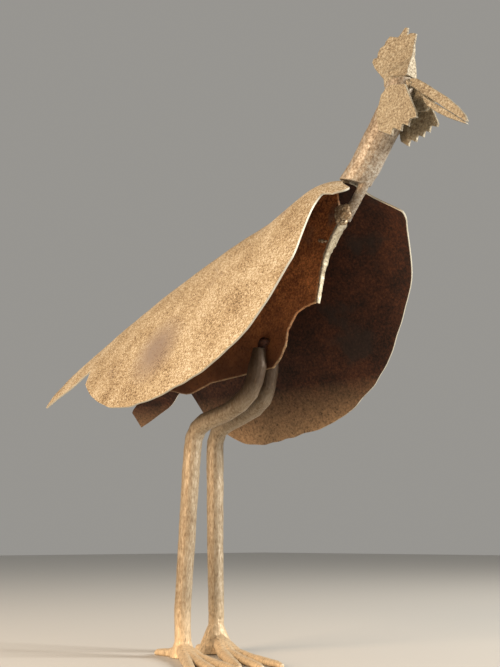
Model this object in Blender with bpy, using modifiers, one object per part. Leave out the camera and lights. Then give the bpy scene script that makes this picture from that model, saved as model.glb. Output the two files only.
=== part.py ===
"""Hen sculpture of forged and welded iron.

One sheet, bent over like a saddle, makes the back, both wings and the tail.
A plate stands on edge under its crest, two bar legs hold the plate, and a bar neck stands on the sheet.
Metres, +Z up. The beak points to +X and the hen's left side is +Y.
While the pieces are shaped, x = 0 is near the ankles and z = 0 is the ground.
The last step moves them all together, so that the origin is the middle of the underside of their box.
"""

from collections import namedtuple
from math import atan2, cos, pi, radians, sin, sqrt

import bmesh
import bpy
from mathutils import Matrix, Vector

# Clearance left between two welded pieces
GAP = 0.0003

# Saddled sheet: its chord runs down to the tail through CHORD_X, CHORD_Z, and u is measured along it, forward
SHEET_THICKNESS = 0.0018
CHORD_X = 0.1159
CHORD_Z = 0.4042
BACK_SLOPE = radians(20.5)
SHEET_ROLL = radians(3.0)
CREST_RISE = 0.0138
CREST_RISE_LENGTH = 0.400
LIP_START = 0.045
LIP_DROP = 0.0152
FRONT_CREST = 0.083
FRONT_CURL = 5.0
BEND_RADIUS_FRONT = 0.0295
BEND_RADIUS_TAIL = 0.0425
BEND_POWER = 2.5

# Each wing's cut edge: an oval with its own front and rear half, a front corner and a straight cut behind it
Wing = namedtuple(
    "Wing",
    "half_width front_reach front_power rear_reach rear_power corner_u corner_y cut_u cut_y cut end_u prong_length",
)
RIGHT_WING = Wing(0.0997, 0.235, 2.5, 0.182, 3.0, 0.095, 0.032, 0.0745, 0.0397, 2.2, -0.249, 0.012)
LEFT_WING = Wing(0.1013, 0.250, 2.0, 0.161, 5.5, 0.104, 0.033, 0.104, 0.033, 1.2, -0.244, 0.020)
WIDEST_U = -0.110
CORNER_ROUND = 0.004
SHOULDER_SLOPE = 0.7
SHOULDER_RISE = 0.0075
CUT_ROUND = 0.012

# Tail: a strip that ends in two prongs
TAIL_ROOT_HALF_WIDTH = 0.064
TAIL_HALF_WIDTH = 0.068
TAIL_FLARE_START_U = -0.256
TAIL_FLARE_LENGTH = 0.034
TAIL_END_U = -0.320
PRONG_INNER = 0.052
PRONG_OUTER = 0.056
PRONG_TIP_SLANT = 0.002

# Body plate
PLATE_THICKNESS = 0.003
PLATE_FRONT_U = 0.072
PLATE_REAR_U = -0.226
PLATE_BOTTOM = (
    (0.138, 0.315), (0.128, 0.311), (0.117, 0.297), (0.114, 0.283), (0.107, 0.272), (0.098, 0.264),
    (0.060, 0.262), (0.011, 0.260), (-0.018, 0.253), (-0.030, 0.253), (-0.061, 0.261), (-0.085, 0.276),
    (-0.099, 0.298),
)

# Neck: a round bar from above the sheet's front edge to the head, with a thinner tang in front
NECK_RADIUS = 0.0139
NECK_TOP_RADIUS = 0.0115
NECK_LEAN = radians(38.0)
NECK_FOOT_FORWARD = 0.005
NECK_LENGTH = 0.0945
NECK_SINK = 0.0278
NECK_FOOT_BACK = 0.0055
HEAD_LEAN = radians(20.0)
HEAD_LENGTH = 0.0265
NECK_SEAT_TILT = radians(4.0)
TANG_RADIUS = 0.0048
TANG_END_RADIUS = 0.0046
TANG_PATH = ((0.0230, 0.0110), (0.0085, -0.0105), (-0.0015, -0.0218), (-0.0098, -0.0325))

# Breast rod: runs on from the tang to a blunt point, in steps of x and z, and thins on the way
ROD_STEPS = (
    (-0.0088, -0.0085), (-0.0057, -0.0080), (-0.0075, -0.0110), (-0.0046, -0.0120), (-0.0037, -0.0150),
    (-0.0038, -0.0150),
)
ROD_RADII = (0.0056, 0.0050, 0.0045, 0.0037, 0.0029, 0.0026, 0.0022)

# Head outlines are in x and z, measured from the middle of the neck's top face
# Comb
COMB_TOP_THICKNESS = 0.0024
COMB_BASE_THICKNESS = 0.0060
COMB_FRONT_THICKNESS = 0.0150
COMB_THICK_HEIGHT = 0.026
COMB_OUTLINE = (
    (0.0133, 0.0000), (0.0141, 0.0080), (0.0158, 0.0185), (0.0178, 0.0305), (0.0202, 0.0385), (0.0142, 0.0415),
    (0.0102, 0.0405), (0.0120, 0.0478), (0.0085, 0.0489), (0.0042, 0.0452), (0.0007, 0.0430), (-0.0083, 0.0475),
    (-0.0128, 0.0445), (-0.0148, 0.0415), (-0.0193, 0.0405), (-0.0218, 0.0370), (-0.0228, 0.0325),
    (-0.0273, 0.0330), (-0.0288, 0.0300), (-0.0258, 0.0225), (-0.0198, 0.0140), (-0.0157, 0.0080),
    (-0.0152, 0.0000),
)

# Wattles: thin flaps beside the neck, with a saw-toothed lower edge
WATTLE_THICKNESS = 0.003
WATTLE_FRONT = ((0.0175, -0.0135), (0.0206, -0.0234), (0.0250, -0.0353), (0.0276, -0.0430))
RIGHT_WATTLE_TIPS = ((0.0279, -0.0478), (0.0192, -0.0529), (0.0114, -0.0545), (0.0014, -0.0551))
LEFT_WATTLE_TIPS = ((0.0260, -0.0455), (0.0181, -0.0480), (0.0117, -0.0503), (0.0039, -0.0522), (-0.0042, -0.0540))
WATTLE_NOTCH = (0.0018, 0.0063)
WATTLE_REAR = ((-0.0121, -0.0465), (-0.0141, -0.0315), (-0.0081, -0.0145), (0.0009, -0.0085))

# Beak: a long strip, and a leaf-shaped one that lies against its underside from halfway to the tip
BEAK_WIDTH = 0.0052
BEAK_TIP_WIDTH = 0.0030
BEAK_TIP_X = 0.0659
UPPER_BEAK_TOP = (
    (0.0089, 0.0000), (0.0196, -0.0039), (0.0298, -0.0135), (0.0490, -0.0323), (0.0582, -0.0436), (0.0642, -0.0531),
    (0.0659, -0.0580),
)
UPPER_BEAK_UNDER = (
    (0.0650, -0.0596), (0.0483, -0.0435), (0.0322, -0.0270), (0.0224, -0.0188), (0.0150, -0.0100), (0.0099, -0.0062),
)
BEAK_SEAM = 0.0004
LOWER_BEAK_TOP = ((0.0232, -0.0195), (0.0310, -0.0278), (0.0375, -0.0335), (0.0483, -0.0435), (0.0650, -0.0596))
LOWER_BEAK_UNDER = (
    (0.0657, -0.0618), (0.0553, -0.0550), (0.0479, -0.0498), (0.0384, -0.0424), (0.0289, -0.0331), (0.0256, -0.0274),
)

# Legs: round bars, given by stations of x and z; y runs from the ankle's to the hip's
LEG_RADIUS = 0.0087
ANKLE_RADIUS = 0.0078
ANKLE_Y = 0.024
RIGHT_SHANK = ((-0.001, 0.042), (0.003, 0.098), (0.007, 0.154), (0.010, 0.190))
RIGHT_KNEE = ((0.0125, 0.203), (0.0185, 0.2125), (0.0290, 0.2175))
RIGHT_THIGH = ((0.054, 0.225), (0.067, 0.2325), (0.077, 0.242), (0.083, 0.253), (0.087, 0.266), (0.089, 0.283))
LEFT_SHANK = ((-0.007, 0.040), (-0.009, 0.098), (-0.010, 0.157), (-0.0105, 0.190))
LEFT_KNEE = ((-0.0100, 0.204), (-0.0050, 0.2155), (0.0070, 0.2215))
LEFT_THIGH = ((0.040, 0.228), (0.058, 0.2315), (0.071, 0.238), (0.078, 0.250), (0.082, 0.268), (0.084, 0.285))
THIGH_END_RADIUS = 0.0058

# Feet: three front toes fanned to the hen's right and one short hind toe, in degrees from straight ahead
Foot = namedtuple("Foot", "x y socket_top socket_radius toes")
RIGHT_FOOT = Foot(0.000, -ANKLE_Y, 0.014, 0.0125, ((-36, 0.112), (-27, 0.122), (-18, 0.126), (184, 0.037)))
LEFT_FOOT = Foot(-0.007, ANKLE_Y, 0.026, 0.0190, ((-33, 0.128), (-25, 0.134), (-16, 0.130), (172, 0.034)))
TOE_RADIUS = 0.0064
TOE_TIP_RADIUS = 0.0038
TOE_AXIS_HEIGHT = 0.35
TOE_LANDING = 0.45

# Facets; near the notch only the sheet's outer columns take its step
SHEET_COLUMNS = 24
CORE_SHARE = 0.75
CORE_BLEND = 0.06
WING_ROWS = 28
TAIL_ROWS = 9
BAR_RESOLUTION = 5
THIN_BAR_RESOLUTION = 3
CONE_SIDES = 20

Finish = namedtuple("Finish", "colour roughness metallic")
RUSTED_SHEET = Finish((0.46, 0.30, 0.16), 0.85, 0.35)
RUSTED_PLATE = Finish((0.25, 0.13, 0.06), 0.88, 0.30)
WORN_BAR = Finish((0.50, 0.38, 0.25), 0.75, 0.40)
WORN_HEAD = Finish((0.48, 0.35, 0.21), 0.78, 0.40)


def clear_scene():
    """Remove whatever the scene holds."""
    for obj in list(bpy.data.objects):
        bpy.data.objects.remove(obj, do_unlink=True)


def new_collection(name):
    """Return a new collection linked to the scene."""
    collection = bpy.data.collections.new(name)
    bpy.context.scene.collection.children.link(collection)
    return collection


def give_material(obj, finish):
    """Give an object its own plain material."""
    material = bpy.data.materials.new(obj.name)
    material.use_nodes = True
    shader = material.node_tree.nodes["Principled BSDF"]
    shader.inputs["Base Color"].default_value = (*finish.colour, 1.0)
    shader.inputs["Roughness"].default_value = finish.roughness
    shader.inputs["Metallic"].default_value = finish.metallic
    obj.data.materials.clear()
    obj.data.materials.append(material)


def add_mesh(name, bm, collection, finish=None, smooth_angle=radians(40)):
    """Turn a bmesh into an object, faces outward and round parts smooth."""
    bmesh.ops.recalc_face_normals(bm, faces=bm.faces)
    mesh = bpy.data.meshes.new(name)
    bm.to_mesh(mesh)
    bm.free()
    mesh.shade_smooth()
    mesh.set_sharp_from_angle(angle=smooth_angle)
    obj = bpy.data.objects.new(name, mesh)
    collection.objects.link(obj)
    if finish:
        give_material(obj, finish)
    return obj


def add_cutter(name, bm):
    """Add a shape that only another piece's Boolean uses."""
    obj = add_mesh(name, bm, cutters)
    obj.hide_render = True
    obj.display_type = "WIRE"
    return obj


def add_boolean(obj, cutter, operation):
    """Cut or join a shape with an exact Boolean."""
    modifier = obj.modifiers.new(cutter.name, "BOOLEAN")
    modifier.operation = operation
    modifier.solver = "EXACT"
    modifier.object = cutter


def curve_to_bmesh(curve_data):
    """Turn a curve into a welded bmesh and remove the curve."""
    holder = bpy.data.objects.new("curve", curve_data)
    bpy.context.scene.collection.objects.link(holder)
    bpy.context.view_layer.update()
    graph = bpy.context.evaluated_depsgraph_get()
    mesh = bpy.data.meshes.new_from_object(holder.evaluated_get(graph))
    bm = bmesh.new()
    bm.from_mesh(mesh)
    bmesh.ops.remove_doubles(bm, verts=bm.verts, dist=0.00001)
    bpy.data.objects.remove(holder, do_unlink=True)
    bpy.data.meshes.remove(mesh)
    bpy.data.curves.remove(curve_data)
    return bm


def bar(points, radii, resolution=BAR_RESOLUTION):
    """Return a round bar along a line of points, with a radius at each."""
    data = bpy.data.curves.new("bar", "CURVE")
    data.dimensions = "3D"
    data.bevel_depth = 1.0
    data.bevel_resolution = resolution
    data.use_fill_caps = True
    spline = data.splines.new("POLY")
    spline.points.add(len(points) - 1)
    for item, point, radius in zip(spline.points, points, radii):
        item.co = (*point, 1.0)
        item.radius = radius
    return curve_to_bmesh(data)


def upright_plate(outline, y_low, y_high):
    """Return a plate with its outline in x and z, and its faces square to Y."""
    data = bpy.data.curves.new("outline", "CURVE")
    data.dimensions = "2D"
    data.fill_mode = "BOTH"
    data.extrude = (y_high - y_low) / 2
    spline = data.splines.new("POLY")
    spline.points.add(len(outline) - 1)
    for item, (x, z) in zip(spline.points, outline):
        item.co = (x, z, 0.0, 1.0)
    spline.use_cyclic_u = True
    bm = curve_to_bmesh(data)
    bm.transform(Matrix.Translation((0, (y_low + y_high) / 2, 0)) @ Matrix.Rotation(pi / 2, 4, "X"))
    return bm


def ease(value):
    """Ease from 0 to 1 with level ends."""
    value = min(max(value, 0.0), 1.0)
    return value * value * (3 - 2 * value)


# Shape of the saddled sheet

def crest_drop(u):
    """How far the crest lies under the chord: less than nothing where it bows up."""
    share = min(max(-u / CREST_RISE_LENGTH, 0.0), 1.0)
    rise = 4 * CREST_RISE * share * (1 - share)
    lip = LIP_DROP * (max(u - LIP_START, 0.0) / (FRONT_CREST - LIP_START)) ** 2
    return lip - rise


def bend_radius(u):
    """Radius of the bend over the crest, wider towards the tail."""
    share = max(LIP_START - u, 0.0) / (LIP_START - TAIL_END_U)
    return BEND_RADIUS_FRONT + (BEND_RADIUS_TAIL - BEND_RADIUS_FRONT) * share ** BEND_POWER


def sheet_point(u, y):
    """A point of the sheet's upper face."""
    along = Vector((cos(BACK_SLOPE), 0, sin(BACK_SLOPE)))
    down = Vector((sin(BACK_SLOPE), 0, -cos(BACK_SLOPE)))
    across = Vector((0, 1, 0)) * cos(SHEET_ROLL) + down * sin(SHEET_ROLL)
    inward = down * cos(SHEET_ROLL) - Vector((0, 1, 0)) * sin(SHEET_ROLL)
    chord = Vector((CHORD_X, 0, CHORD_Z)) + along * u
    return chord + down * crest_drop(u) + inward * (y * y / (2 * bend_radius(u))) + across * y


def crest_slope(u):
    """Angle of the crest above level at u."""
    step = 0.001
    ahead = sheet_point(u + step, 0) - sheet_point(u - step, 0)
    return atan2(ahead.z, ahead.x)


def off_crest(u, height):
    """A point this far above the crest, square to it."""
    angle = crest_slope(u)
    return sheet_point(u, 0) + Vector((-sin(angle), 0, cos(angle))) * height


def softer_min(first, second):
    """The smaller of two lengths, rounded off where they are nearly the same."""
    near = max(1 - abs(first - second) / CUT_ROUND, 0.0)
    return min(first, second) - near * near * CUT_ROUND / 4


def half_width(u, wing):
    """Distance from the median plane to a wing's or the tail's edge."""
    if u < wing.end_u:
        out = ease((TAIL_FLARE_START_U - u) / TAIL_FLARE_LENGTH)
        return TAIL_ROOT_HALF_WIDTH + (TAIL_HALF_WIDTH - TAIL_ROOT_HALF_WIDTH) * out
    if u > WIDEST_U:
        share = ((u - WIDEST_U) / wing.front_reach) ** wing.front_power
    else:
        share = ((WIDEST_U - u) / wing.rear_reach) ** wing.rear_power
    oval = wing.half_width * sqrt(max(1 - share, 0.0))
    behind = wing.corner_u - u
    shoulder = wing.corner_y + min(behind * SHOULDER_SLOPE, SHOULDER_RISE)
    cut = wing.cut_y + (wing.cut_u - u) * wing.cut
    nip = max(1 - behind / CORNER_ROUND, 0.0)
    rounded = CORNER_ROUND * (1 - sqrt(1 - nip * nip))
    return softer_min(oval, max(shoulder, cut)) - rounded


def tail_end(y, wing):
    """u of the tail's end: level in the middle, with a prong at each side."""
    out = ease((abs(y) - PRONG_INNER) / (PRONG_OUTER - PRONG_INNER))
    slant = PRONG_TIP_SLANT * max(abs(y) - PRONG_OUTER, 0.0) / (TAIL_HALF_WIDTH - PRONG_OUTER)
    return TAIL_END_U - wing.prong_length * out - slant


def wing_row_u(row, front_u, end_u):
    """u of one row of the wings, closer together at both ends."""
    share = (1 - cos(pi * row / WING_ROWS)) / 2
    return front_u + (end_u - front_u) * share


def crest_row_u(row):
    """u of one row of the wings where it crosses the crest."""
    return wing_row_u(row, FRONT_CREST, (RIGHT_WING.end_u + LEFT_WING.end_u) / 2)


def column_y(side, u, wing):
    """Distance from the middle of a column, whose side is 0 at the crest and 1 or -1 at an edge."""
    edge = half_width(u, wing)
    even = CORE_SHARE * edge
    core = even + (PRONG_OUTER - even) * (1 - ease((u - wing.end_u) / CORE_BLEND))
    out = max(abs(side) - CORE_SHARE, 0.0) / (1 - CORE_SHARE)
    distance = core * min(abs(side) / CORE_SHARE, 1.0) + (edge - core) * out
    return distance if side > 0 else -distance


def sheet_grid_point(column, row):
    """Where one point of the flat grid goes on the saddle."""
    side = column / SHEET_COLUMNS * 2 - 1
    wing = LEFT_WING if side > 0 else RIGHT_WING
    if row <= WING_ROWS:
        edge_u = wing_row_u(row, wing.corner_u, wing.end_u)
        crest_u = crest_row_u(row)
        y = column_y(side, edge_u, wing)
        return sheet_point(crest_u + (edge_u - crest_u) * abs(side) ** FRONT_CURL, y)
    share = (row - WING_ROWS - 1) / (TAIL_ROWS - 1)
    notch_u = wing.end_u - 0.001
    edge_u = notch_u + (TAIL_END_U - wing.prong_length - notch_u) * share
    root_u = crest_row_u(WING_ROWS) - 0.001
    root_u += (notch_u - root_u) * abs(side) ** FRONT_CURL
    y = column_y(side, edge_u, wing)
    return sheet_point(root_u + (tail_end(y, wing) - root_u) * share, y)


def build_wing_sheet():
    """Back, wings and tail: a grid bent over the crest, with its thickness inward."""
    rows = WING_ROWS + TAIL_ROWS
    bm = bmesh.new()
    bmesh.ops.create_grid(bm, x_segments=rows, y_segments=SHEET_COLUMNS, size=1.0)
    for vert in bm.verts:
        row = round((1 - vert.co.x) / 2 * rows)
        column = round((1 + vert.co.y) / 2 * SHEET_COLUMNS)
        vert.co = sheet_grid_point(column, row)
    obj = add_mesh("wing_sheet", bm, parts, RUSTED_SHEET, radians(60))
    upper = sum(polygon.normal.z for polygon in obj.data.polygons) > 0
    solidify = obj.modifiers.new("thickness", "SOLIDIFY")
    solidify.thickness = SHEET_THICKNESS
    solidify.offset = -1 if upper else 1
    return obj


# Pieces on the median plane

def path_from(start, steps):
    """Points reached by taking steps of x and z one after another."""
    points = [Vector(start)]
    for dx, dz in steps:
        points.append(points[-1] + Vector((dx, 0, dz)))
    return points


def tang_points():
    """Axis of the tang, placed from the sheet's front edge."""
    front = sheet_point(FRONT_CREST, 0)
    return [front + Vector((dx, 0, dz)) for dx, dz in TANG_PATH]


def rod_points():
    """Axis of the breast rod, from just past the tang's end."""
    before, end = tang_points()[-2:]
    ahead = (end - before).normalized()
    turn = ahead.angle(Vector((ROD_STEPS[0][0], 0, ROD_STEPS[0][1])))
    return path_from(end + ahead * (GAP + ROD_RADII[0] * sin(turn)), ROD_STEPS)


def build_breast_rod():
    """Tapering rod down the plate's front edge."""
    return add_mesh("breast_rod", bar(rod_points(), ROD_RADII, THIN_BAR_RESOLUTION), parts, WORN_BAR)


def behind_rod():
    """The plate's front edge: the rod's axis moved back by its radius and the clearance."""
    points = rod_points()
    edge = []
    for i, (point, radius) in enumerate(zip(points, ROD_RADII)):
        ahead = points[min(i + 1, len(points) - 1)] - points[max(i - 1, 0)]
        back = Vector((ahead.z, 0, -ahead.x)).normalized()
        edge.append(point + back * (radius + GAP))
    return edge


def build_body_plate():
    """Flat plate under the crest: its upper edge follows the sheet's rows."""
    facet = PLATE_THICKNESS / 2 * (half_width(0, LEFT_WING) / SHEET_COLUMNS / BEND_RADIUS_FRONT)
    clearance = GAP + facet + PLATE_THICKNESS / 2 * sin(SHEET_ROLL)
    rows = [crest_row_u(row) for row in range(WING_ROWS + 1)]
    top_rows = [u for u in reversed(rows) if PLATE_REAR_U < u < PLATE_FRONT_U]
    top = [off_crest(u, -SHEET_THICKNESS - clearance) for u in top_rows]
    outline = [(p.x, p.z) for p in top]
    outline += [(p.x, p.z) for p in behind_rod()]
    outline += PLATE_BOTTOM
    bm = upright_plate(outline, -PLATE_THICKNESS / 2, PLATE_THICKNESS / 2)
    return add_mesh("body_plate", bm, parts, RUSTED_PLATE)


def leaning(angle):
    """Direction on the median plane that leans forward from upright by an angle."""
    return Vector((sin(angle), 0, cos(angle)))


def neck_bend():
    """Where the neck's axis starts to turn up to the head."""
    foot = sheet_point(FRONT_CREST, 0) + Vector((NECK_FOOT_FORWARD, 0, 0))
    return foot + leaning(NECK_LEAN) * (NECK_LENGTH - NECK_SINK)


def head_middle():
    """Middle of the neck's top face."""
    return neck_bend() + leaning(HEAD_LEAN) * HEAD_LENGTH


def neck_points():
    """Axis of the neck, from inside the sheet's lip up to past the head."""
    bend = neck_bend()
    foot = bend - leaning(NECK_LEAN) * NECK_LENGTH
    halfway = leaning((NECK_LEAN + HEAD_LEAN) / 2)
    back = -leaning(NECK_LEAN + pi / 2)
    turned = bend + halfway * HEAD_LENGTH * 0.42
    top = head_middle() + leaning(HEAD_LEAN) * NECK_TOP_RADIUS
    return [foot + back * NECK_FOOT_BACK, foot.lerp(bend, 0.45), bend, turned, top]


def neck_radii(grow=0.0):
    """Radius of the neck at each of its points."""
    middle = (NECK_RADIUS + NECK_TOP_RADIUS) / 2
    radii = (NECK_RADIUS, NECK_RADIUS, NECK_RADIUS, middle + 0.0005, NECK_TOP_RADIUS)
    return [radius + grow for radius in radii]


def keep_side(bm, point, normal):
    """Cut a closed shape with a plane and close it, keeping what the normal points to."""
    everything = list(bm.verts) + list(bm.edges) + list(bm.faces)
    cut = bmesh.ops.bisect_plane(bm, geom=everything, plane_co=point, plane_no=normal, clear_inner=True)
    edges = [item for item in cut["geom_cut"] if isinstance(item, bmesh.types.BMEdge)]
    bmesh.ops.triangle_fill(bm, edges=edges, use_beauty=True)


def build_neck():
    """Neck bar cut to the crest below and level above, with its tang."""
    bm = bar(neck_points(), neck_radii())
    slope = crest_slope(FRONT_CREST) - NECK_SEAT_TILT
    keep_side(bm, off_crest(FRONT_CREST, GAP), Vector((-sin(slope), 0, cos(slope))))
    keep_side(bm, head_middle(), Vector((0, 0, -1)))
    neck = add_mesh("neck", bm, parts, WORN_BAR)
    radii = [TANG_RADIUS] * (len(TANG_PATH) - 1) + [TANG_END_RADIUS]
    tang = add_cutter("tang", bar(tang_points(), radii, THIN_BAR_RESOLUTION))
    add_boolean(neck, tang, "UNION")
    return neck


# Head

def head_outline(outline, lift=0.0):
    """Move an outline drawn around the neck's top to where that is."""
    middle = head_middle()
    return [(middle.x + x, middle.z + lift + z) for x, z in outline]


def build_comb():
    """Toothed plate, thin above and thick where it meets the neck and beak."""
    middle = head_middle()
    bm = upright_plate(head_outline(COMB_OUTLINE, GAP), -0.5, 0.5)
    front = COMB_OUTLINE[0][0]
    for vert in bm.verts:
        low = 1 - ease((vert.co.z - middle.z) / COMB_THICK_HEIGHT)
        forward = ease((vert.co.x - middle.x) / front)
        base = COMB_BASE_THICKNESS + (COMB_FRONT_THICKNESS - COMB_BASE_THICKNESS) * forward
        vert.co.y *= COMB_TOP_THICKNESS + (base - COMB_TOP_THICKNESS) * low
    return add_mesh("comb", bm, parts, WORN_HEAD)


def wattle_outline(tips):
    """Outline of a wattle: each tooth has a steep front, from its notch to its tip, and a sloping back."""
    outline = list(WATTLE_FRONT)
    outline.append(tips[0])
    for x, z in tips[1:]:
        outline.append((x + WATTLE_NOTCH[0], z + WATTLE_NOTCH[1]))
        outline.append((x, z))
    outline += WATTLE_REAR
    return outline


def build_wattle(name, tips, side):
    """Flap that touches the side of the neck."""
    near = NECK_RADIUS + GAP
    far = near + WATTLE_THICKNESS
    low, high = (near, far) if side > 0 else (-far, -near)
    bm = upright_plate(head_outline(wattle_outline(tips)), low, high)
    return add_mesh(name, bm, parts, WORN_HEAD)


def build_beak(name, outline):
    """Strip of the beak, narrowed to the tip and cut to the neck's round front."""
    points = head_outline(outline)
    bm = upright_plate(points, -BEAK_WIDTH / 2, BEAK_WIDTH / 2)
    start = min(x for x, z in points)
    length = head_middle().x + BEAK_TIP_X - start
    for vert in bm.verts:
        share = (vert.co.x - start) / length
        vert.co.y *= 1 - (1 - BEAK_TIP_WIDTH / BEAK_WIDTH) * share * share
    obj = add_mesh(name, bm, parts, WORN_HEAD)
    add_boolean(obj, neck_room, "DIFFERENCE")
    return obj


# Legs and feet

def build_leg(name, foot, shank, knee, thigh):
    """Bar leg from the foot's socket to the side of the plate."""
    side = 1 if foot.y > 0 else -1
    hip_y = PLATE_THICKNESS / 2 + GAP + LEG_RADIUS
    ankle = Vector((foot.x, foot.y, foot.socket_top + GAP))
    points = [ankle, ankle + Vector((0, 0, LEG_RADIUS / 2))]
    for x, z in shank + knee:
        points.append(Vector((x, foot.y, z)))
    start = knee[-1][0]
    beside_plate = thigh[-2][0]
    for x, z in thigh:
        share = ease((x - start) / (beside_plate - start))
        points.append(Vector((x, side * (ANKLE_Y + (hip_y - ANKLE_Y) * share), z)))
    knee_z = knee[0][1]
    radii = []
    for point in points:
        share = ease((point.z - ankle.z) / (knee_z - ankle.z))
        radii.append(ANKLE_RADIUS + (LEG_RADIUS - ANKLE_RADIUS) * share)
    radii[-1] = THIGH_END_RADIUS
    return add_mesh(name, bar(points, radii), parts, WORN_BAR)


def toe_bmesh(foot, angle, length):
    """Tapering toe that comes down from the socket and lies along the ground."""
    ahead = Vector((cos(radians(angle)), sin(radians(angle)), 0))
    points = []
    radii = []
    for share in (0.0, 0.18, 0.36, 0.55, 0.75, 0.92, 1.0):
        radius = TOE_RADIUS + (TOE_TIP_RADIUS - TOE_RADIUS) * share
        rest = radius * TOE_AXIS_HEIGHT
        height = rest + (foot.socket_top / 2 - rest) * (1 - ease(share / TOE_LANDING))
        points.append(Vector((foot.x, foot.y, height)) + ahead * length * share)
        radii.append(radius if share < 1 else radius * 0.6)
    return bar(points, radii, THIN_BAR_RESOLUTION)


def build_foot(name, foot):
    """Socket and toes joined, with the sole cut flat."""
    bm = bmesh.new()
    lift = Matrix.Translation((foot.x, foot.y, foot.socket_top / 2))
    bmesh.ops.create_cone(
        bm, cap_ends=True, segments=CONE_SIDES, radius1=foot.socket_radius, radius2=ANKLE_RADIUS,
        depth=foot.socket_top, matrix=lift,
    )
    obj = add_mesh(name, bm, parts, WORN_BAR)
    for number, (angle, length) in enumerate(foot.toes, 1):
        toe = add_cutter(f"{name}_toe_{number}", toe_bmesh(foot, angle, length))
        add_boolean(obj, toe, "UNION")
    reach = max(length for angle, length in foot.toes) * 2.5
    ground_bm = bmesh.new()
    below = Matrix.Translation((foot.x, foot.y, -reach / 2)) @ Matrix.Scale(reach, 4)
    bmesh.ops.create_cube(ground_bm, size=1.0, matrix=below)
    add_boolean(obj, add_cutter(f"{name}_ground", ground_bm), "DIFFERENCE")
    return obj


def centre_on_origin():
    """Move everything so that the box of the pieces stands centred on the origin."""
    bpy.context.view_layer.update()
    graph = bpy.context.evaluated_depsgraph_get()
    low = Vector((1e9, 1e9, 1e9))
    high = -low
    for obj in parts.objects:
        mesh = obj.evaluated_get(graph).to_mesh()
        for vert in mesh.vertices:
            point = obj.matrix_world @ vert.co
            low = Vector(map(min, low, point))
            high = Vector(map(max, high, point))
    shift = Vector(((low.x + high.x) / 2, (low.y + high.y) / 2, low.z))
    for obj in list(parts.objects) + list(cutters.objects):
        obj.location -= shift


clear_scene()
parts = new_collection("iron_hen")
cutters = new_collection("cutters")

build_wing_sheet()
build_body_plate()
build_neck()
build_breast_rod()
build_comb()
build_wattle("right_wattle", RIGHT_WATTLE_TIPS, -1)
build_wattle("left_wattle", LEFT_WATTLE_TIPS, 1)
neck_room = add_cutter("neck_room", bar(neck_points(), neck_radii(GAP)))
build_beak("upper_beak", UPPER_BEAK_TOP + UPPER_BEAK_UNDER)
build_beak("lower_beak", tuple((x, z - BEAK_SEAM) for x, z in LOWER_BEAK_TOP) + LOWER_BEAK_UNDER)
build_leg("right_leg", RIGHT_FOOT, RIGHT_SHANK, RIGHT_KNEE, RIGHT_THIGH)
build_leg("left_leg", LEFT_FOOT, LEFT_SHANK, LEFT_KNEE, LEFT_THIGH)
build_foot("right_foot", RIGHT_FOOT)
build_foot("left_foot", LEFT_FOOT)
centre_on_origin()
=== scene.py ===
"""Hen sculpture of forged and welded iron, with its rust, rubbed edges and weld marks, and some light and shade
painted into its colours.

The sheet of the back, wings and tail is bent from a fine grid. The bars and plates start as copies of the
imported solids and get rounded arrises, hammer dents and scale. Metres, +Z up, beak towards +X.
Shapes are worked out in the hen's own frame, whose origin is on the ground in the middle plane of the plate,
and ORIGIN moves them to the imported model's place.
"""

import logging
from dataclasses import dataclass, field
from enum import Enum
from math import cos, pi, radians, sin, sqrt
from random import Random

import bpy
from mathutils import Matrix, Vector, noise
from mathutils.kdtree import KDTree


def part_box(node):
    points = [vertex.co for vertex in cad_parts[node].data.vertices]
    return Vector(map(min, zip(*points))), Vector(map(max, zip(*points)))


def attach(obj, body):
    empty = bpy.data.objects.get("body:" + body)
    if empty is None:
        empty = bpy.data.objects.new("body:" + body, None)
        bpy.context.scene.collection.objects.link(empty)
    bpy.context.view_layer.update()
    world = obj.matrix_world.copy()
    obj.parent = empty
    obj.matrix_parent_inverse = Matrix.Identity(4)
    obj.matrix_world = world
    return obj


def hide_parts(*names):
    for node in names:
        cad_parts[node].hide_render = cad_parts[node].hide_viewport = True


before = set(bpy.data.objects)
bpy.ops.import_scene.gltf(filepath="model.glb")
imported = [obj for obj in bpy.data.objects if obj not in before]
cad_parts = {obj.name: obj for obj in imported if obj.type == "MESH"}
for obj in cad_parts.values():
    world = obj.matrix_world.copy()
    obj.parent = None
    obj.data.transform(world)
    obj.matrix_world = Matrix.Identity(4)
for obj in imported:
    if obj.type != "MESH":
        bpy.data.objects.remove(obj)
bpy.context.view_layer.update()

# The plate is upright in the middle of the hen, and its rear lower corner is 99 mm behind the origin
PLATE_REAR_CORNER = -0.099
PLATE_LOW, PLATE_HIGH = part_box("body_plate")
ORIGIN = Vector((PLATE_LOW.x - PLATE_REAR_CORNER, (PLATE_LOW.y + PLATE_HIGH.y) / 2, 0.0))

# Noise lies near 0.5, so the rust's tones are spread over the middle of its range
TONE_FROM, TONE_TO = 0.36, 0.64
# Brings the product of two noises back to full strength
GRAIN_GAIN = 1.7

# Middle, radius and depth of a pit
Pit = tuple[Vector, float, float]
Point = tuple[float, float, float]
Socket = bpy.types.NodeSocket

log = logging.getLogger("iron_hen")


class Slot(Enum):
    """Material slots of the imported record."""

    SHEET = "sheet_iron"
    PLATE = "plate_iron"
    BAR = "bar_iron"
    HEAD = "head_iron"


# Finishes


def linear(colour: str) -> tuple[float, float, float, float]:
    """Turn an sRGB hex colour into linear light.

    Args:
        colour: Six hex digits, such as "c8a06e".

    Returns:
        Red, green, blue and alpha.
    """
    channels = [int(colour[i:i + 2], 16) / 255 for i in (0, 2, 4)]
    light = [c / 12.92 if c <= 0.04045 else ((c + 0.055) / 1.055) ** 2.4 for c in channels]
    return (*light, 1.0)


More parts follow.
